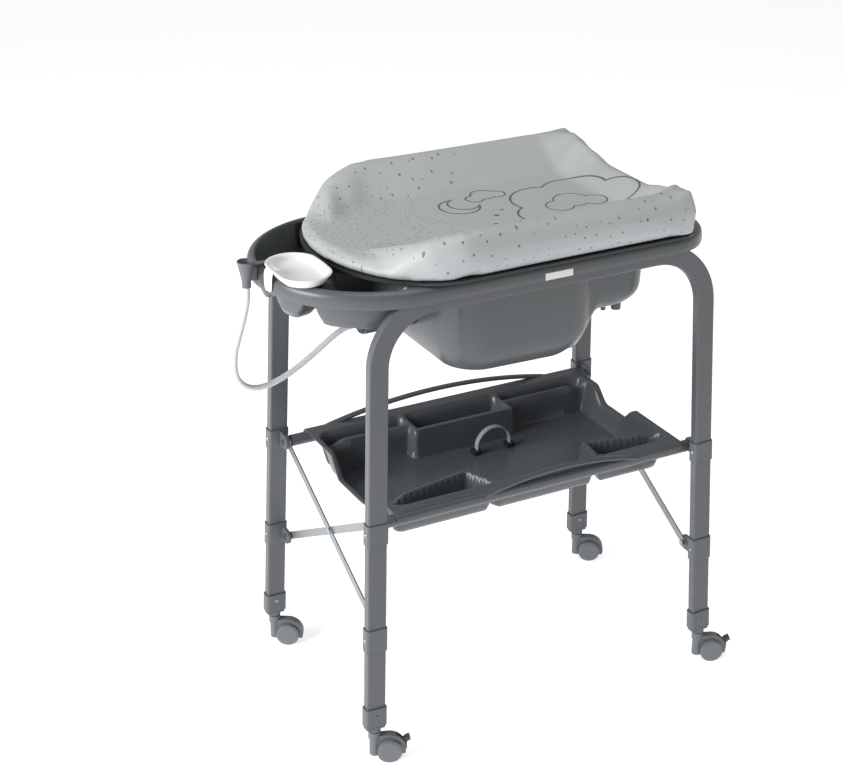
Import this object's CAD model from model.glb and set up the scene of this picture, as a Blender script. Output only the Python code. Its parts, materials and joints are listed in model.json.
"""Baby bath and changing station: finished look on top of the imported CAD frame."""
import json
import math

import bmesh
import bpy
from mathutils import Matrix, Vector, noise


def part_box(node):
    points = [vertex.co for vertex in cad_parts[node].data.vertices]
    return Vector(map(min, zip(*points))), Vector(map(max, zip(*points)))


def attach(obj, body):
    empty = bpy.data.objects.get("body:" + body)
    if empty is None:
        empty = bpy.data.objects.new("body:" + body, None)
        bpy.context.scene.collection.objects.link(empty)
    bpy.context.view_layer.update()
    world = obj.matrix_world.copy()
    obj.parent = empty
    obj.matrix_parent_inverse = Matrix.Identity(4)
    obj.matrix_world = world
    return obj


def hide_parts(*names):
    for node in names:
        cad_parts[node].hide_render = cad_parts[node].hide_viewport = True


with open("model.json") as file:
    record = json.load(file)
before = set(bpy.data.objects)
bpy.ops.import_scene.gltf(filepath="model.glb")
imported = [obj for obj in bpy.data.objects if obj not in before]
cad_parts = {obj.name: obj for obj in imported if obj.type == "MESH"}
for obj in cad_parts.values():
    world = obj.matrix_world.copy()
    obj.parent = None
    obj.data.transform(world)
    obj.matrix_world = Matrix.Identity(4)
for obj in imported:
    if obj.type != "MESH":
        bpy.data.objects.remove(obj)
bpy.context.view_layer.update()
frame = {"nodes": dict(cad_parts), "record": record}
nodes = frame["nodes"]
scene = bpy.context.scene

MM = 0.001

# The stand's middle, on the floor between the four legs
front_low, front_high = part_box("front_arch")
rear_low, rear_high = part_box("rear_arch")
MIDDLE = Vector(((front_low.x + front_high.x) / 2, (front_low.y + rear_high.y) / 2, 0))


def place(x, y, z):
    """A point given in millimetres from the stand's middle."""
    return Vector((x, y, z)) * MM + MIDDLE


def clamp(value, low=0.0, high=1.0):
    return max(low, min(high, value))


def ease(value):
    value = clamp(value)
    return value * value * (3 - 2 * value)


def mixed(a, b, t):
    return a + (b - a) * t


# ---------------------------------------------------------------- camera

camera_data = bpy.data.cameras.new("studio_camera")
camera_data.lens = 80.57
camera_data.sensor_width = 36
camera_data.clip_end = 100
camera = bpy.data.objects.new("studio_camera", camera_data)
scene.collection.objects.link(camera)
camera.location = place(-1628, -2813, 2110)
camera.rotation_euler = (math.radians(90 - 25.073), 0, math.radians(-27.819))
scene.camera = camera


# ---------------------------------------------------------------- shared node groups

def linear(r, g, b):
    """Linear colour from 0-255 display values."""
    values = []
    for c in (r, g, b):
        c = c / 255
        values.append(c / 12.92 if c <= 0.04045 else ((c + 0.055) / 1.055) ** 2.4)
    return (*values, 1)


def new_group(name, inputs, outputs):
    group = bpy.data.node_groups.new(name, "ShaderNodeTree")
    for label, kind in inputs:
        group.interface.new_socket(name=label, in_out="INPUT", socket_type=kind)
    for label, kind in outputs:
        group.interface.new_socket(name=label, in_out="OUTPUT", socket_type=kind)
    entry = group.nodes.new("NodeGroupInput")
    leave = group.nodes.new("NodeGroupOutput")
    return group, entry, leave


def add_node(tree, kind, **settings):
    made = tree.nodes.new(kind)
    for key, value in settings.items():
        setattr(made, key, value)
    return made


def math_node(tree, operation, a, b=None, c=None, limit=False):
    made = tree.nodes.new("ShaderNodeMath")
    made.operation = operation
    made.use_clamp = limit
    for i, value in enumerate((a, b, c)):
        if value is None:
            continue
        if isinstance(value, (int, float)):
            made.inputs[i].default_value = value
        else:
            tree.links.new(value, made.inputs[i])
    return made.outputs[0]


def noise_node(tree, vector, scale, detail=2.0, roughness=0.5):
    made = tree.nodes.new("ShaderNodeTexNoise")
    made.inputs["Detail"].default_value = detail
    made.inputs["Roughness"].default_value = roughness
    if isinstance(scale, (int, float)):
        made.inputs["Scale"].default_value = scale
    else:
        tree.links.new(scale, made.inputs["Scale"])
    tree.links.new(vector, made.inputs["Vector"])
    return made.outputs["Fac"]


def band(tree, value, low, high):
    """0 below low, 1 above high."""
    made = tree.nodes.new("ShaderNodeMapRange")
    made.inputs["From Min"].default_value = low
    made.inputs["From Max"].default_value = high
    tree.links.new(value, made.inputs["Value"])
    return made.outputs["Result"]


def blend_colours(tree, factor, a, b):
    made = tree.nodes.new("ShaderNodeMix")
    made.data_type = "RGBA"
    for i, value in ((0, factor), (6, a), (7, b)):
        if isinstance(value, bpy.types.NodeSocket):
            tree.links.new(value, made.inputs[i])
        else:
            made.inputs[i].default_value = value
    return made.outputs[2]


def build_finish_group():
    """Tone drift, fine grain and handling marks for moulded and painted pieces."""
    group, entry, leave = new_group(
        "moulded_finish",
        [("Vector", "NodeSocketVector"), ("Colour", "NodeSocketColor"), ("Marks", "NodeSocketColor"),
         ("Grain Scale", "NodeSocketFloat"), ("Roughness", "NodeSocketFloat"),
         ("Spread", "NodeSocketFloat"), ("Drift", "NodeSocketFloat"), ("Wear", "NodeSocketFloat")],
        [("Colour", "NodeSocketColor"), ("Roughness", "NodeSocketFloat"), ("Height", "NodeSocketFloat")],
    )
    at = entry.outputs
    drift = noise_node(group, at["Vector"], 7.0, 3.0)
    smudge = noise_node(group, at["Vector"], 34.0, 4.0, 0.6)
    grain = noise_node(group, at["Vector"], at["Grain Scale"], 2.0)
    scratch_map = add_node(group, "ShaderNodeMapping")
    scratch_map.inputs["Scale"].default_value = (260, 260, 18)
    group.links.new(at["Vector"], scratch_map.inputs["Vector"])
    scratch = noise_node(group, scratch_map.outputs[0], 1.0, 3.0)
    marks = band(group, scratch, 0.66, 0.78)
    shade = math_node(group, "MULTIPLY", math_node(group, "SUBTRACT", drift, 0.5), at["Drift"])
    speckle = math_node(group, "MULTIPLY", math_node(group, "SUBTRACT", grain, 0.5), 0.18)
    level = math_node(group, "ADD", math_node(group, "ADD", shade, speckle), 1.0)
    scaled = add_node(group, "ShaderNodeVectorMath", operation="SCALE")
    group.links.new(at["Colour"], scaled.inputs[0])
    group.links.new(level, scaled.inputs["Scale"])
    worn_share = math_node(group, "MULTIPLY", marks, at["Wear"])
    worn = blend_colours(group, worn_share, scaled.outputs[0], at["Marks"])
    wander = math_node(group, "MULTIPLY", math_node(group, "SUBTRACT", smudge, 0.5), at["Spread"])
    rough = math_node(group, "ADD", at["Roughness"], wander, limit=True)
    group.links.new(worn, leave.inputs["Colour"])
    group.links.new(rough, leave.inputs["Roughness"])
    group.links.new(grain, leave.inputs["Height"])
    return group


def build_weave_group():
    """Crossed threads of a webbing, with their height and a shade between them."""
    group, entry, leave = new_group(
        "webbing_weave",
        [("Vector", "NodeSocketVector"), ("Threads", "NodeSocketFloat")],
        [("Shade", "NodeSocketFloat"), ("Height", "NodeSocketFloat")],
    )
    split = group.nodes.new("ShaderNodeSeparateXYZ")
    group.links.new(entry.outputs["Vector"], split.inputs[0])
    waves = []
    for axis in ("X", "Y"):
        turn = math_node(group, "MULTIPLY", split.outputs[axis], entry.outputs["Threads"])
        waves.append(math_node(group, "ABSOLUTE", math_node(group, "SINE", turn)))
    high = math_node(group, "MULTIPLY", waves[0], waves[1])
    group.links.new(band(group, high, 0.05, 0.6), leave.inputs["Shade"])
    group.links.new(high, leave.inputs["Height"])
    return group


FINISH = build_finish_group()
WEAVE = build_weave_group()


def group_node(tree, group, **values):
    made = tree.nodes.new("ShaderNodeGroup")
    made.node_tree = group
    for label, value in values.items():
        made.inputs[label.replace("_", " ")].default_value = value
    return made


def new_material(name):
    made = bpy.data.materials.new(name)
    made.use_nodes = True
    tree = made.node_tree
    shader = next(n for n in tree.nodes if n.type == "BSDF_PRINCIPLED")
    coords = tree.nodes.new("ShaderNodeTexCoord")
    return made, tree, shader, coords.outputs["Object"]


def bump_node(tree, shader, height, distance, strength=1.0, under=None):
    made = tree.nodes.new("ShaderNodeBump")
    made.inputs["Strength"].default_value = strength
    made.inputs["Distance"].default_value = distance
    tree.links.new(height, made.inputs["Height"])
    if under is not None:
        tree.links.new(under, made.inputs["Normal"])
    tree.links.new(made.outputs["Normal"], shader.inputs["Normal"])


def soft_edge(tree, radius):
    """Rounded look for the sharp edges of a carried-over CAD piece."""
    made = tree.nodes.new("ShaderNodeBevel")
    made.samples = 4
    made.inputs["Radius"].default_value = radius
    return made.outputs["Normal"]


def finish_material(name, colour, rough, grain=900.0, depth=0.00006, spread=0.16, drift=0.16,
                    marks=(170, 174, 178), metal=0.0, coat=0.0, edge=0.0, wear=0.05):
    made, tree, shader, vector = new_material(name)
    detail = group_node(tree, FINISH, Colour=linear(*colour), Marks=linear(*marks), Grain_Scale=grain,
                        Roughness=rough, Spread=spread, Drift=drift, Wear=wear)
    tree.links.new(vector, detail.inputs["Vector"])
    tree.links.new(detail.outputs["Colour"], shader.inputs["Base Color"])
    tree.links.new(detail.outputs["Roughness"], shader.inputs["Roughness"])
    under = soft_edge(tree, edge) if edge else None
    bump_node(tree, shader, detail.outputs["Height"], depth, under=under)
    shader.inputs["Metallic"].default_value = metal
    shader.inputs["Coat Weight"].default_value = coat
    shader.inputs["Coat Roughness"].default_value = 0.18
    return made


TUBE_PAINT = finish_material("tube_paint", (94, 97, 100), 0.36, 700, 0.00005, edge=0.0008)
JOINT_PLASTIC = finish_material("joint_plastic", (97, 101, 104), 0.42, 1100, 0.00008, edge=0.0008)
BRACE_STEEL = finish_material("brace_steel", (150, 154, 156), 0.36, 500, 0.00003, metal=0.6,
                              edge=0.0004, wear=0.2)
FASTENER = finish_material("fastener", (170, 173, 176), 0.25, 500, 0.00002, metal=1.0,
                           edge=0.0003, wear=0.15)
CASTOR_PLASTIC = finish_material("castor_plastic", (110, 114, 117), 0.46, 1300, 0.0001, edge=0.0008)
WHEEL_PLASTIC = finish_material("wheel_plastic", (112, 116, 119), 0.4, 1000, 0.00006, edge=0.0008)
BRAKE_PLASTIC = finish_material("brake_plastic", (66, 68, 71), 0.5, 1300, 0.0001, edge=0.0006)
BATH_PLASTIC = finish_material("bath_plastic", (89, 93, 95), 0.3, 900, 0.00004, drift=0.1)
TRAY_PLASTIC = finish_material("tray_plastic", (88, 92, 96), 0.26, 900, 0.00004, drift=0.1)
BLACK_PLASTIC = finish_material("black_plastic", (36, 37, 39), 0.45, 1200, 0.00008, edge=0.0004)
WHITE_PLASTIC = finish_material("white_plastic", (238, 239, 239), 0.24, 900, 0.00002, drift=0.03,
                                marks=(225, 225, 226))
HOLDER_PLASTIC = finish_material("holder_plastic", (104, 106, 110), 0.36, 1000, 0.00006, edge=0.0006)
BOARD = finish_material("board", (46, 48, 51), 0.5, 1200, 0.0001, edge=0.0008)
HINGE_PLASTIC = finish_material("hinge_plastic", (96, 100, 103), 0.42, 1100, 0.00008, edge=0.0006)
LABEL = finish_material("label", (236, 236, 234), 0.4, 1400, 0.00002, drift=0.04,
                        marks=(214, 214, 214), edge=0.0002)


def build_hose_material():
    """Milky, slightly see-through tube with a fine bloom along it."""
    made, tree, shader, vector = new_material("hose_plastic")
    detail = group_node(tree, FINISH, Colour=linear(214, 217, 219), Marks=linear(196, 199, 202),
                        Grain_Scale=500, Roughness=0.22, Spread=0.12, Drift=0.06, Wear=0.1)
    tree.links.new(vector, detail.inputs["Vector"])
    tree.links.new(detail.outputs["Colour"], shader.inputs["Base Color"])
    tree.links.new(detail.outputs["Roughness"], shader.inputs["Roughness"])
    bump_node(tree, shader, detail.outputs["Height"], 0.00003)
    shader.inputs["Subsurface Weight"].default_value = 0.35
    shader.inputs["Subsurface Scale"].default_value = 0.004
    shader.inputs["Coat Weight"].default_value = 0.3
    return made


def build_strap_material():
    """Pale lilac-grey webbing."""
    made, tree, shader, vector = new_material("strap")
    weave = group_node(tree, WEAVE, Threads=4200)
    tree.links.new(vector, weave.inputs["Vector"])
    colour = blend_colours(tree, weave.outputs["Shade"], linear(138, 139, 156), linear(176, 177, 194))
    tree.links.new(colour, shader.inputs["Base Color"])
    bump_node(tree, shader, weave.outputs["Height"], 0.0003)
    shader.inputs["Roughness"].default_value = 0.75
    shader.inputs["Sheen Weight"].default_value = 0.3
    return made


# Half the width of the mat's flat in millimetres, and a height just above the pad's underside
FLAT_HALF_WIDTH = 122
PAD_SIDE_Z = 0.926


def plan_distance(tree, vector, x, y):
    """Distance in millimetres from a point of the mat's plan, seen from above."""
    shift = tree.nodes.new("ShaderNodeVectorMath")
    shift.operation = "SUBTRACT"
    tree.links.new(vector, shift.inputs[0])
    shift.inputs[1].default_value = place(x, y, 0)
    flat = tree.nodes.new("ShaderNodeVectorMath")
    flat.operation = "MULTIPLY"
    tree.links.new(shift.outputs[0], flat.inputs[0])
    flat.inputs[1].default_value = (1000, 1000, 0)
    length = tree.nodes.new("ShaderNodeVectorMath")
    length.operation = "LENGTH"
    tree.links.new(flat.outputs[0], length.inputs[0])
    return length.outputs["Value"]


def outline_of(tree, circles, vector):
    """Signed distance to a union of circles, each (x, y, radius)."""
    whole = None
    for x, y, radius in circles:
        edge = math_node(tree, "SUBTRACT", plan_distance(tree, vector, x, y), radius)
        whole = edge if whole is None else math_node(tree, "MINIMUM", whole, edge)
    return whole


def drawn_line(tree, edge, width):
    """1 on a line of the given width where edge is 0."""
    near = math_node(tree, "ABSOLUTE", edge)
    return band(tree, near, width / 2 + 0.4, width / 2 - 0.4)


def scattered_dots(tree, vector, scale, reach):
    """Dots of mixed size, a third of them open rings, at most one in each cell."""
    cells = add_node(tree, "ShaderNodeTexVoronoi", feature="F1", distance="EUCLIDEAN",
                     voronoi_dimensions="2D")
    cells.inputs["Scale"].default_value = scale
    cells.inputs["Randomness"].default_value = 0.85
    tree.links.new(vector, cells.inputs["Vector"])
    chance = tree.nodes.new("ShaderNodeSeparateColor")
    tree.links.new(cells.outputs["Color"], chance.inputs[0])
    size = math_node(tree, "ADD", math_node(tree, "MULTIPLY", chance.outputs[1], 0.55), 0.6)
    away = math_node(tree, "DIVIDE", cells.outputs["Distance"], size)
    is_ring = math_node(tree, "GREATER_THAN", chance.outputs[0], 0.62)
    filled = band(tree, away, reach, reach * 0.86)
    hollow = math_node(tree, "MULTIPLY", band(tree, away, reach * 0.5, reach * 0.64), is_ring)
    return math_node(tree, "SUBTRACT", filled, hollow, limit=True)


def mix_values(tree, factor, a, b):
    """a where factor is 0, b where it is 1."""
    rest = math_node(tree, "SUBTRACT", 1.0, factor)
    first = math_node(tree, "MULTIPLY", a, rest)
    second = math_node(tree, "MULTIPLY", b, factor)
    return math_node(tree, "ADD", first, second)


def build_mat_material():
    """Soft vinyl with scattered dots and rings, and a moon and clouds on the flat."""
    made, tree, shader, vector = new_material("mat_vinyl")
    detail = group_node(tree, FINISH, Colour=linear(181, 185, 186), Marks=linear(196, 200, 200),
                        Grain_Scale=1500, Roughness=0.46, Spread=0.14, Drift=0.05, Wear=0.08)
    tree.links.new(vector, detail.inputs["Vector"])
    split = tree.nodes.new("ShaderNodeSeparateXYZ")
    tree.links.new(vector, split.inputs[0])

    # Scattered dots, a third of them rings
    across = math_node(tree, "MULTIPLY", math_node(tree, "SUBTRACT", split.outputs["Y"], MIDDLE.y), 1000)
    along = math_node(tree, "MULTIPLY", math_node(tree, "SUBTRACT", split.outputs["X"], MIDDLE.x), 1000)
    outside = band(tree, across, -206, -207)
    spread_out = tree.nodes.new("ShaderNodeCombineXYZ")
    tree.links.new(split.outputs["X"], spread_out.inputs[0])
    tree.links.new(mix_values(tree, outside, split.outputs["Y"], split.outputs["Z"]), spread_out.inputs[1])
    wide_dots = scattered_dots(tree, spread_out.outputs[0], 38, 0.1)
    close_dots = scattered_dots(tree, spread_out.outputs[0], 84, 0.15)
    front_side = band(tree, across, -150, -160)
    left_part = band(tree, along, -60, -110)
    where = math_node(tree, "MAXIMUM", front_side, left_part)
    left_rear = math_node(tree, "MULTIPLY", band(tree, across, 122, 132), band(tree, along, 60, 0))
    where = math_node(tree, "MAXIMUM", where, left_rear)
    from_middle = math_node(tree, "ABSOLUTE", across)
    on_left = math_node(tree, "MULTIPLY", left_part, band(tree, from_middle, 126, 120))
    dots = mix_values(tree, on_left, math_node(tree, "MULTIPLY", wide_dots, where), close_dots)

    # Moon and clouds in a thin line
    cloud_parts = [(78, -62, 50), (118, 4, 66), (192, 22, 62), (238, -36, 50), (160, -78, 60)]
    cloud = outline_of(tree, cloud_parts, vector)
    small_cloud = outline_of(tree, [(2, 66, 17), (28, 80, 24), (52, 72, 16)], vector)
    moon_out = math_node(tree, "SUBTRACT", plan_distance(tree, vector, -44, 40), 38)
    moon_in = math_node(tree, "SUBTRACT", 30, plan_distance(tree, vector, -30, 50))
    moon = math_node(tree, "MAXIMUM", moon_out, moon_in)
    inner_cloud = outline_of(tree, [(122, -40, 26), (158, -22, 34), (196, -40, 24)], vector)
    lines = drawn_line(tree, cloud, 4.4)
    for edge, width in ((small_cloud, 3.6), (moon, 4.0), (inner_cloud, 3.2)):
        lines = math_node(tree, "MAXIMUM", lines, drawn_line(tree, edge, width))
    stars = outline_of(tree, [(-6, -30, 5), (18, -8, 3.5), (-30, -70, 4), (60, 34, 3)], vector)
    lines = math_node(tree, "MAXIMUM", lines, band(tree, stars, 0.4, -0.4))
    on_flat = math_node(tree, "LESS_THAN", from_middle, FLAT_HALF_WIDTH)
    lines = math_node(tree, "MULTIPLY", lines, on_flat)
    upper = math_node(tree, "GREATER_THAN", split.outputs["Z"], PAD_SIDE_Z)
    lines = math_node(tree, "MULTIPLY", lines, upper)

    fading = math_node(tree, "MULTIPLY", dots, 0.8)
    with_dots = blend_colours(tree, fading, detail.outputs["Colour"], linear(92, 96, 100))
    with_lines = blend_colours(tree, math_node(tree, "MULTIPLY", lines, 0.9), with_dots, linear(78, 82, 88))
    tree.links.new(with_lines, shader.inputs["Base Color"])
    tree.links.new(detail.outputs["Roughness"], shader.inputs["Roughness"])
    wrinkle = noise_node(tree, vector, 26.0, 3.0)
    height = math_node(tree, "ADD", math_node(tree, "MULTIPLY", detail.outputs["Height"], 0.05), wrinkle)
    bump_node(tree, shader, height, 0.0016, 0.55)
    shader.inputs["Coat Weight"].default_value = 0.12
    shader.inputs["Coat Roughness"].default_value = 0.35
    return made


HOSE_PLASTIC = build_hose_material()
STRAP = build_strap_material()
MAT_VINYL = build_mat_material()

CAD_FINISHES = {
    "tube_paint": TUBE_PAINT, "joint_plastic": JOINT_PLASTIC, "brace_steel": BRACE_STEEL,
    "fastener": FASTENER, "castor_plastic": CASTOR_PLASTIC, "wheel_plastic": WHEEL_PLASTIC,
    "brake_plastic": BRAKE_PLASTIC, "bath_plastic": BATH_PLASTIC, "black_plastic": BLACK_PLASTIC,
    "white_plastic": WHITE_PLASTIC, "hose_plastic": HOSE_PLASTIC, "label": LABEL,
    "holder_plastic": HOLDER_PLASTIC, "board": BOARD, "mat_vinyl": MAT_VINYL,
    "hinge_plastic": HINGE_PLASTIC, "tray_plastic": TRAY_PLASTIC, "strap": STRAP,
}
for part in frame["record"]["subparts"]:
    piece = nodes[part["node"]]
    for material_slot in piece.material_slots:
        material_slot.material = CAD_FINISHES[part["material_slot"]]


# ---------------------------------------------------------------- making pieces

def finished(name, bm, body, material, replaced=(), sharp=40):
    """Turns a bmesh into a piece of the object that rides on a body."""
    mesh = bpy.data.meshes.new(name)
    bm.to_mesh(mesh)
    bm.free()
    for face in mesh.polygons:
        face.use_smooth = True
    mesh.set_sharp_from_angle(angle=math.radians(sharp))
    mesh.materials.append(material)
    made = bpy.data.objects.new(name, mesh)
    scene.collection.objects.link(made)
    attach(made, body)
    if replaced:
        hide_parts(*replaced)
    return made


def add_ring(bm, layer, edges, points):
    """Extrudes a loop of edges to the next ring of points and returns its edges."""
    result = bmesh.ops.extrude_edge_only(bm, edges=edges)["geom"]
    verts = [g for g in result if isinstance(g, bmesh.types.BMVert)]
    for corner in verts:
        corner.co = points[corner[layer]]
    return [g for g in result if isinstance(g, bmesh.types.BMEdge) and
            g.verts[0] in verts and g.verts[1] in verts]


def first_ring(bm, layer, points):
    """Loop of edges through the points, numbered so that later rings keep their order."""
    bmesh.ops.create_circle(bm, segments=len(points), radius=1)
    bm.verts.ensure_lookup_table()
    for i, corner in enumerate(bm.verts):
        corner[layer] = i
        corner.co = points[i]
    return list(bm.edges)


def lofted(rings):
    """Bmesh through rings of points, with the last ring filled."""
    bm = bmesh.new()
    layer = bm.verts.layers.int.new("ring")
    edges = first_ring(bm, layer, rings[0])
    for points in rings[1:]:
        edges = add_ring(bm, layer, edges, points)
    bmesh.ops.holes_fill(bm, edges=edges, sides=0)
    return bm


def upward(bm):
    """Makes the faces of an open shell point up on its whole."""
    bmesh.ops.recalc_face_normals(bm, faces=bm.faces)
    total = sum((f.normal.z * f.calc_area() for f in bm.faces), 0.0)
    if total < 0:
        bmesh.ops.reverse_faces(bm, faces=bm.faces)


def wall(piece, thickness):
    """Gives an open shell a wall behind its faces."""
    made = piece.modifiers.new("wall", "SOLIDIFY")
    made.thickness = thickness
    made.offset = -1.0
    made.use_even_offset = False


def smoothed(piece):
    made = piece.modifiers.new("smooth", "SUBSURF")
    made.levels = 1
    made.render_levels = 1


def ray_reach(level, centre, angle, offset):
    """How far along a ray a plan reaches, for a plan given by its level function."""
    low, high = 0.0, 900.0
    dx, dy = math.cos(angle), math.sin(angle)
    for _ in range(40):
        half = (low + high) / 2
        if level(centre + half * dx, half * dy) < offset:
            low = half
        else:
            high = half
    return low


def box_level(x0, x1, half, corner):
    """Level function of a rounded rectangle from x0 to x1."""
    middle, reach = (x0 + x1) / 2, (x1 - x0) / 2

    def level(x, y):
        qx = abs(x - middle) - reach + corner
        qy = abs(y) - half + corner
        outside = math.hypot(max(qx, 0), max(qy, 0))
        return outside + min(max(qx, qy), 0) - corner
    return level


# ---------------------------------------------------------------- drain hose

HOSE_ROUTE = [
    (-278, 772), (-296, 770), (-315, 763), (-336, 750), (-358, 735), (-383, 719), (-411, 704),
    (-440, 693), (-466, 689), (-487, 693), (-502, 704), (-511, 720), (-514, 740), (-512, 764),
    (-504, 792), (-495, 820), (-488, 846), (-485, 868), (-485, 884),
]


def make_hose():
    curve = bpy.data.curves.new("drain_tube", "CURVE")
    curve.dimensions = "3D"
    curve.bevel_depth = 5.5 * MM
    curve.bevel_resolution = 6
    curve.use_fill_caps = True
    spline = curve.splines.new("POLY")
    points = [place(x, 0, z) for x, z in HOSE_ROUTE]
    fine = []
    for i in range(len(points) - 1):
        before = points[max(i - 1, 0)]
        after = points[min(i + 2, len(points) - 1)]
        a, b = points[i], points[i + 1]
        for k in range(4):
            t = k / 4
            fine.append(0.5 * (2 * a + (b - before) * t + (2 * before - 5 * a + 4 * b - after) * t ** 2
                               + (3 * a - before - 3 * b + after) * t ** 3))
    fine.append(points[-1])
    spline.points.add(len(fine) - 1)
    for spot, co in zip(spline.points, fine):
        spot.co = (*co, 1)
    spline.use_smooth = True
    curve.materials.append(HOSE_PLASTIC)
    hose = bpy.data.objects.new("drain_tube", curve)
    scene.collection.objects.link(hose)
    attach(hose, "bath_body")
    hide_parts("drain_hose")


make_hose()


# ---------------------------------------------------------------- bath

RIM_TOP = 913
RIM_HALF = 216
RIM_LEFT_X = -250
RIM_RIGHT_X = 268
RIM_CORNER_Y = 121
RIM_CORNER_R = 95
RIM_ROLL = 14
POCKET_DEPTH = 71
SEAT_Z = 772
DRAIN_Z = 772

# The bath is lofted through points on rays that leave one spot inside the basin
RAYS = 168
HEART = -20


def rim_level(x, y):
    """Plan of the rim: a round left end and two smaller corners on the right."""
    y = abs(y)
    if x < RIM_LEFT_X:
        return math.hypot(x - RIM_LEFT_X, y) - RIM_HALF
    if x > RIM_RIGHT_X and y > RIM_CORNER_Y:
        return math.hypot(x - RIM_RIGHT_X, y - RIM_CORNER_Y) - RIM_CORNER_R
    return max(y - RIM_HALF, x - RIM_RIGHT_X - RIM_CORNER_R)


def pocket_depth(x, y):
    """How deep the pockets at the left end go below the deck."""
    inside = min(202 - math.hypot(x - RIM_LEFT_X, y), math.hypot(x + 280, y) - 86, abs(y) - 16,
                 -276 - x, 199 - abs(y))
    if y < 0:
        turn = math.radians(212)
        across = (x - RIM_LEFT_X) * math.sin(turn) - y * math.cos(turn)
        inside = min(inside, abs(across) - 6)
    return POCKET_DEPTH * ease((inside + 1) / 11)


def either(*levels):
    """Level function of several plans joined into one."""
    def level(x, y):
        return min(each(x, y) for each in levels)
    return level


def make_bath():
    angles = [2 * math.pi * i / RAYS for i in range(RAYS)]
    opening = either(box_level(-160, 146, 176.5, 80), box_level(-60, 254, 154, 50))
    floor = either(box_level(-146, 100, 148, 60), box_level(-60, 230, 132, 42))
    deck_edge = [ray_reach(rim_level, HEART, a, -15) for a in angles]
    mouth = [ray_reach(opening, HEART, a, 5) for a in angles]
    top = [ray_reach(opening, HEART, a, 0) for a in angles]
    low = [ray_reach(floor, HEART, a, 0) for a in angles]
    rings = []

    def ring(reaches, height):
        points = []
        for angle, reach in zip(angles, reaches):
            x = HEART + reach * math.cos(angle)
            y = reach * math.sin(angle)
            z = height(x, y) if callable(height) else height
            points.append(place(x, y, z))
        rings.append(points)

    def rim_ring(offset, z):
        ring([ray_reach(rim_level, HEART, a, -offset) for a in angles], z)

    # Lip, a light step, the upright band and the roll over to the deck
    lip = [(0.9, 882.6), (0.2, 883.2), (0, 884.5), (0, 887), (-0.7, 888.4), (-0.7, 892), (-0.4, 897)]
    for offset, z in lip:
        rim_ring(offset, z)
    for step in range(1, 6):
        turn = math.radians(90 * step / 5)
        rim_ring(RIM_ROLL * (1 - math.cos(turn)) - 0.3, RIM_TOP - RIM_ROLL + RIM_ROLL * math.sin(turn))
    ring(deck_edge, lambda x, y: RIM_TOP)

    # Deck with its pockets, from the rim in to the basin's mouth
    def deck_height(x, y):
        return RIM_TOP - pocket_depth(x, y)

    steps = 30
    for k in range(1, steps):
        t = k / steps
        ring([mixed(a, b, t) for a, b in zip(deck_edge, mouth)], deck_height)
    ring(mouth, RIM_TOP)
    ring([mixed(a, b, 0.6) for a, b in zip(mouth, top)], RIM_TOP - 1.6)
    ring(top, RIM_TOP - 6)

    # Basin walls down to a floor that steps up to the seat end
    def floor_height(x, y):
        deep = 708 - 4 * clamp((x + 150) / 200)
        return mixed(deep, SEAT_Z, ease((x - 100) / 46))

    for u in (0.12, 0.26, 0.4, 0.54, 0.66, 0.75, 0.82, 0.88, 0.93, 0.965, 0.99, 1.0):
        tuck = 0.2 * u + 0.8 * max(0.0, (u - 0.76) / 0.24) ** 2.2
        reaches = [mixed(a, b, tuck) for a, b in zip(top, low)]
        ring(reaches, lambda x, y: mixed(RIM_TOP - 6, floor_height(x, y), u))
    for share in (0.93, 0.85, 0.74, 0.6, 0.45, 0.3, 0.15):
        ring([r * share for r in low], floor_height)
    bm = lofted(rings)
    upward(bm)
    bath = finished("bath_shell", bm, "bath_body", BATH_PLASTIC, ["bath"], 50)
    wall(bath, 3.5 * MM)
    smoothed(bath)


make_bath()


def make_drain_boss():
    """Pipe from the drain spout to the basin's left wall."""
    bm = bmesh.new()
    outline = [(12.2, 0), (19, 0), (20, 1), (20, 112), (19, 113), (12.2, 113)]
    verts = [bm.verts.new((h * MM, 0, r * MM)) for r, h in outline]
    edges = [bm.edges.new((verts[i], verts[(i + 1) % len(verts)])) for i in range(len(verts))]
    bmesh.ops.spin(bm, geom=verts + edges, cent=(0, 0, 0), axis=(1, 0, 0), dvec=(0, 0, 0),
                   angle=2 * math.pi, steps=40, use_merge=True, use_duplicate=False)
    bmesh.ops.remove_doubles(bm, verts=bm.verts, dist=1e-6)
    bmesh.ops.recalc_face_normals(bm, faces=bm.faces)
    bmesh.ops.translate(bm, verts=bm.verts, vec=place(-268, 0, DRAIN_Z))
    finished("drain_boss", bm, "bath_body", BATH_PLASTIC)


make_drain_boss()


def make_seat_pegs():
    """Pegs under the seat end, two sizes on each side."""
    bm = bmesh.new()
    for side in (-1, 1):
        for x, radius, bottom in ((178, 5, 754), (206, 10, 751)):
            made = bmesh.ops.create_cone(bm, cap_ends=True, segments=28, radius1=radius * 0.92 * MM,
                                         radius2=radius * MM, depth=24 * MM)
            bmesh.ops.translate(bm, verts=made["verts"], vec=place(x, side * 112, bottom + 12))
    finished("seat_pegs", bm, "bath_body", BATH_PLASTIC)


make_seat_pegs()


# ---------------------------------------------------------------- soap dish

DISH_X = -414
DISH_Y = -62
DISH_STRETCH = 24
DISH_POINTS = 72


def oval_ring(radius, stretch, z):
    """Ring round the dish's middle, pulled apart along Y by stretch on each side."""
    points = []
    for i in range(DISH_POINTS):
        angle = 2 * math.pi * i / DISH_POINTS
        x = radius * math.cos(angle)
        y = radius * math.sin(angle)
        y += stretch * clamp(y / 12, -1, 1)
        points.append(place(DISH_X + x, DISH_Y + y, z))
    return points


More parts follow.
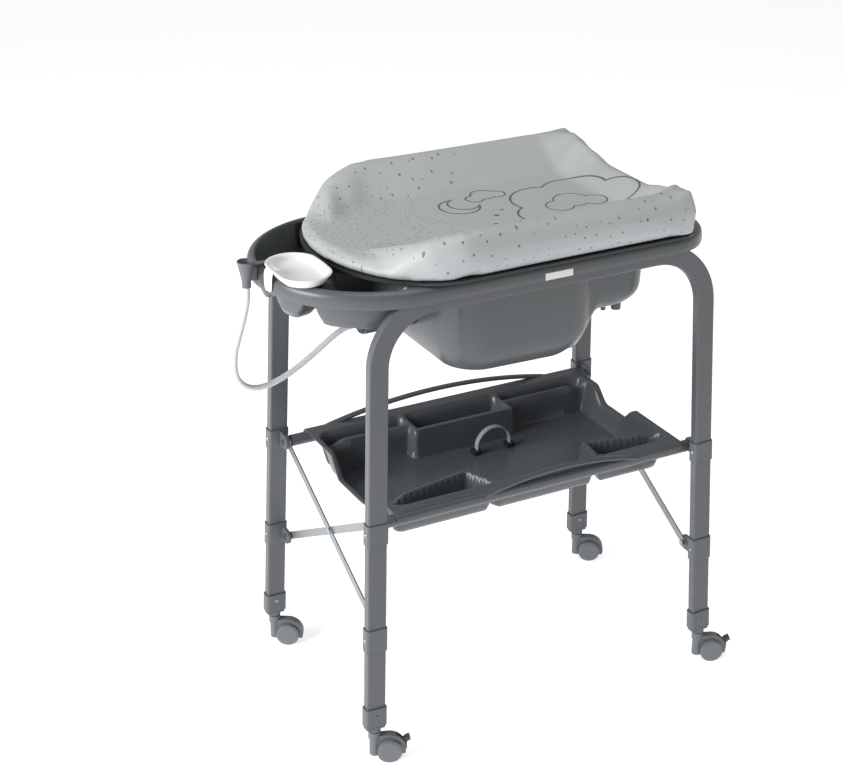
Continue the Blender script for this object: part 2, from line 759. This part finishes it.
def make_dish():
    outline = [
        (26, 913.6), (33, 913.5), (38, 914.6), (41, 918), (42.4, 923), (43, 926.6), (46, 927.2),
        (47.6, 928), (48, 929.2), (47.4, 930.3), (45.6, 930.6), (43, 930.2), (41, 928.6), (39.6, 925),
        (38.4, 921), (36, 918), (32, 916.6), (22, 916), (10, 915.8),
    ]
    rings = [oval_ring(r, DISH_STRETCH if r > 20 else DISH_STRETCH * r / 20, z) for r, z in outline]
    bm = lofted(rings)
    open_edges = [e for e in bm.edges if e.is_boundary]
    bmesh.ops.holes_fill(bm, edges=open_edges, sides=0)
    bmesh.ops.recalc_face_normals(bm, faces=bm.faces)
    finished("soap_dish", bm, "soap_dish", WHITE_PLASTIC, ["dish"])


make_dish()


def make_dish_tab():
    """Tab of the dish that bends down over the rim."""
    profile = [(198, 928.6), (204, 929.6), (209, 929.4), (213.5, 928), (217, 925), (219, 920.5),
               (219.9, 914), (220, 907), (220, 900), (219.8, 893), (219.4, 888)]
    half_widths = (17, 15.5, 14, 13, 12.4, 12, 11.8, 11.5, 11, 10, 7)
    bm = bmesh.new()
    made = bmesh.ops.create_grid(bm, x_segments=8, y_segments=len(profile) - 1, size=1)
    rows = sorted({round(v.co.y, 4) for v in made["verts"]})
    for corner in made["verts"]:
        step = rows.index(round(corner.co.y, 4))
        reach, z = profile[step]
        half = half_widths[step]
        turn = math.radians(192) + corner.co.x * half / reach
        corner.co = place(RIM_LEFT_X + reach * math.cos(turn), reach * math.sin(turn), z)
    upward(bm)
    tab = finished("dish_tab", bm, "soap_dish", WHITE_PLASTIC)
    wall(tab, 2.2 * MM)
    smoothed(tab)


make_dish_tab()


# ---------------------------------------------------------------- tray

TRAY_FLOOR = 418
TRAY_RIM = 64

# Tops of the tray's inner ridges, as the ends of straight runs
TRAY_WALLS = [
    ((-290, 134), (-100, 130)), ((-100, 130), (-100, 104)), ((-100, 104), (110, 104)),
    ((110, 104), (110, 136)), ((110, 136), (306, 138)), ((-100, 130), (-100, 176)),
    ((110, 136), (110, 176)), ((-290, -128), (-98, -90)), ((-98, -90), (-62, -176)),
    ((146, -176), (160, -94)), ((160, -94), (310, -128)),
]


def segment_distance(x, y, a, b):
    ax, ay = a
    bx, by = b
    dx, dy = bx - ax, by - ay
    t = clamp(((x - ax) * dx + (y - ay) * dy) / (dx * dx + dy * dy))
    return math.hypot(x - ax - t * dx, y - ay - t * dy)


def tray_height(x, y):
    """Height of the tray's upper surface over its plan."""
    inner = box_level(-290, 310, 167, 30)(x, y)
    rise = ease((inner + 20) / 20)
    z = TRAY_FLOOR + TRAY_RIM * rise
    end = ease((abs(x - 10) - 250) / 34)
    if x < 0:
        dip = 40 * ease((118 - abs(y + 34)) / 46) - 9 * math.exp(-((y + 96) / 24) ** 2)
    else:
        dip = 30 * ease((74 - abs(y - 34)) / 44)
    dip = max(dip, 0) * end
    z -= dip * rise
    if inner < 4:
        near = min(segment_distance(x, y, a, b) for a, b in TRAY_WALLS)
        ridge = TRAY_FLOOR + (57 - 10 * end) * ease((13 - near) / 9)
        z = max(z, mixed(ridge, TRAY_FLOOR + TRAY_RIM - dip, rise))
    edge = abs(y) - 196
    if edge > 0:
        z -= 1.6 * edge
    return min(z, 483.2)


def make_tray():
    bm = bmesh.new()
    bmesh.ops.create_grid(bm, x_segments=214, y_segments=142, size=0.5)
    for corner in bm.verts:
        x = mixed(-298, 318, corner.co.x + 0.5)
        y = 202 * 2 * corner.co.y
        corner.co = place(x, y, tray_height(x, y))
    upward(bm)
    tray = finished("storage_tray", bm, "storage_tray", TRAY_PLASTIC, ["tray"], 60)
    wall(tray, 3 * MM)


make_tray()


def make_grip(name, x0, x1, y, rise):
    """Bowed grip along one long edge of the tray."""
    span = x1 - x0
    half_height = 3.5
    radius = span * span / (8 * rise) + rise / 2 - half_height
    centre = place((x0 + x1) / 2, y, 479.8 + rise - half_height - radius)
    turn = 2 * math.asin(span / 2 / (radius + half_height))
    bm = bmesh.new()
    made = bmesh.ops.create_circle(bm, cap_ends=True, segments=20, radius=1)
    for corner in made["verts"]:
        side, up = corner.co.x, corner.co.y
        side = math.copysign(abs(side) ** 0.7, side) * 7 * MM
        up = math.copysign(abs(up) ** 0.7, up) * half_height * MM
        tilt = -turn / 2
        reach = radius * MM + up
        corner.co = centre + Vector((reach * math.sin(tilt), side, reach * math.cos(tilt)))
    geometry = bm.verts[:] + bm.edges[:] + bm.faces[:]
    bmesh.ops.spin(bm, geom=geometry, cent=centre, axis=(0, 1, 0), dvec=(0, 0, 0), angle=turn, steps=40)
    bmesh.ops.recalc_face_normals(bm, faces=bm.faces)
    finished(name, bm, "storage_tray", TRAY_PLASTIC)


make_grip("tray_grip_rear", -250, 250, 196.8, 28)
make_grip("tray_grip_front", -120, 210, -196.8, 20)


def make_strap():
    """Restraint strap arched over the tray's floor."""
    centre = place(45, 56, 432.1)
    bm = bmesh.new()
    half_turn = math.radians(106)
    made = bmesh.ops.create_grid(bm, x_segments=12, y_segments=2, size=1)
    for corner in made["verts"]:
        side = corner.co.x * 6 * MM
        up = corner.co.y * 0.8 * MM
        reach = 37 * MM + up - 0.2 * MM * abs(corner.co.x) ** 4
        corner.co = centre + Vector((reach * math.sin(-half_turn), side, reach * math.cos(half_turn)))
    geometry = bm.verts[:] + bm.edges[:] + bm.faces[:]
    bmesh.ops.spin(bm, geom=geometry, cent=centre, axis=(0, 1, 0), dvec=(0, 0, 0),
                   angle=2 * half_turn, steps=56)
    bmesh.ops.recalc_face_normals(bm, faces=bm.faces)
    finished("strap_webbing", bm, "storage_tray", STRAP, ["tray_strap"])


make_strap()


# ---------------------------------------------------------------- mat

PAD_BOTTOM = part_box("mat_cushion")[0].z


def cushion_copy(name):
    """Merged copy of the CAD cushion's mesh as a new piece."""
    bm = bmesh.new()
    bm.from_mesh(nodes["mat_cushion"].data)
    bmesh.ops.remove_doubles(bm, verts=bm.verts, dist=1e-6)
    mesh = bpy.data.meshes.new(name)
    bm.to_mesh(mesh)
    bm.free()
    made = bpy.data.objects.new(name, mesh)
    scene.collection.objects.link(made)
    return made


def apply_modifiers(piece):
    graph = bpy.context.evaluated_depsgraph_get()
    shaped = bpy.data.meshes.new_from_object(piece.evaluated_get(graph))
    piece.modifiers.clear()
    piece.data = shaped


def relaxed(piece, rounds, right_edge=math.inf):
    """Smooths a mesh left of an edge while its underside stays on the board."""
    bm = bmesh.new()
    bm.from_mesh(piece.data)
    loose = [v for v in bm.verts if v.co.x < right_edge]
    for _ in range(rounds):
        bmesh.ops.smooth_vert(bm, verts=loose, factor=0.5, use_axis_x=True, use_axis_y=True,
                              use_axis_z=True)
    for corner in bm.verts:
        corner.co.z = max(corner.co.z, PAD_BOTTOM)
    bm.to_mesh(piece.data)
    bm.free()


def puffed(piece, frames, cap):
    """Blows the cover up a little, with a cap on how far each point may move."""
    rest = [v.co.copy() for v in piece.data.vertices]
    cloth = piece.modifiers.new("puff", "CLOTH")
    cloth.settings.quality = 4
    cloth.settings.mass = 0.25
    cloth.settings.tension_stiffness = 18
    cloth.settings.compression_stiffness = 18
    cloth.settings.shear_stiffness = 8
    cloth.settings.bending_stiffness = 2
    cloth.settings.use_pressure = True
    cloth.settings.uniform_pressure_force = 4
    cloth.settings.effector_weights.gravity = 0
    cloth.point_cache.frame_start = 1
    cloth.point_cache.frame_end = frames
    for step in range(1, frames + 1):
        scene.frame_set(step)
    graph = bpy.context.evaluated_depsgraph_get()
    moved = [v.co.copy() for v in piece.evaluated_get(graph).data.vertices]
    piece.modifiers.clear()
    for corner, a, b in zip(piece.data.vertices, rest, moved):
        step = b - a
        if step.length > cap:
            step = step.normalized() * cap
        corner.co = a + step
        corner.co.z = max(corner.co.z, PAD_BOTTOM)
    scene.frame_set(1)


def corner_lift(x, y):
    """How far the end lip climbs where it runs into a side wing."""
    rise = 13 * ease(clamp((y - 61) / 61)) + 14 * clamp((y - 122) / 46) - 27 * clamp((y - 168) / 37)
    return rise * clamp((x - 216) / 70)


def make_cushion():
    cushion = cushion_copy("mat_cover")
    remesh = cushion.modifiers.new("voxels", "REMESH")
    remesh.mode = "VOXEL"
    remesh.voxel_size = 0.005
    apply_modifiers(cushion)
    for corner in cushion.data.vertices:
        if corner.co.z > 0.934:
            x = (corner.co.x - MIDDLE.x) / MM
            y = abs(corner.co.y - MIDDLE.y) / MM
            corner.co.z += corner_lift(x, y) * MM
    relaxed(cushion, 16, place(-150, 0, 0)[0])
    relaxed(cushion, 5)
    puffed(cushion, 12, 0.004)
    relaxed(cushion, 2)
    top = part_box("mat_cushion")[1].z
    for corner in cushion.data.vertices:
        swell = noise.noise(corner.co * 9) * 0.0012
        if corner.co.z > PAD_BOTTOM + 0.006:
            corner.co.z += swell
        corner.co.z = min(corner.co.z, top + 0.004)
    for face in cushion.data.polygons:
        face.use_smooth = True
    cushion.data.materials.clear()
    cushion.data.materials.append(MAT_VINYL)
    smoothed(cushion)
    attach(cushion, "mat")
    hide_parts("mat_cushion")


make_cushion()


# ---------------------------------------------------------------- studio

def make_floor():
    bm = bmesh.new()
    bmesh.ops.create_grid(bm, x_segments=1, y_segments=1, size=20)
    mesh = bpy.data.meshes.new("studio_floor")
    bm.to_mesh(mesh)
    bm.free()
    floor = bpy.data.objects.new("studio_floor", mesh)
    scene.collection.objects.link(floor)
    paper, tree, shader, vector = new_material("studio_paper")
    fibre = noise_node(tree, vector, 3.0, 2.0)
    colour = blend_colours(tree, fibre, linear(247, 247, 249), linear(250, 250, 252))
    tree.links.new(colour, shader.inputs["Base Color"])
    shader.inputs["Roughness"].default_value = 0.9
    shader.inputs["Specular IOR Level"].default_value = 0.1
    shader.inputs["Emission Color"].default_value = (1, 1, 1, 1)
    shader.inputs["Emission Strength"].default_value = 0.62
    mesh.materials.append(paper)


def make_soft_light(name, spot, target, size, power):
    data = bpy.data.lights.new(name, "AREA")
    data.shape = "DISK"
    data.size = size
    data.energy = power
    light = bpy.data.objects.new(name, data)
    scene.collection.objects.link(light)
    light.location = Vector(spot)
    light.rotation_euler = (Vector(target) - Vector(spot)).to_track_quat("-Z", "Y").to_euler()


make_floor()
make_soft_light("key_left", (-3.3, -0.2, 1.9), (0, 0, 0.6), 2.0, 108)
make_soft_light("fill_above", (0.3, -0.6, 4.2), (0, 0, 0.5), 3.0, 40)

world = bpy.data.worlds.new("studio_sky")
scene.world = world
world.use_nodes = True
sky = world.node_tree.nodes["Background"]
sky.inputs["Color"].default_value = (1, 1, 1, 1)
sky.inputs["Strength"].default_value = 0.3
scene.view_settings.view_transform = "Standard"
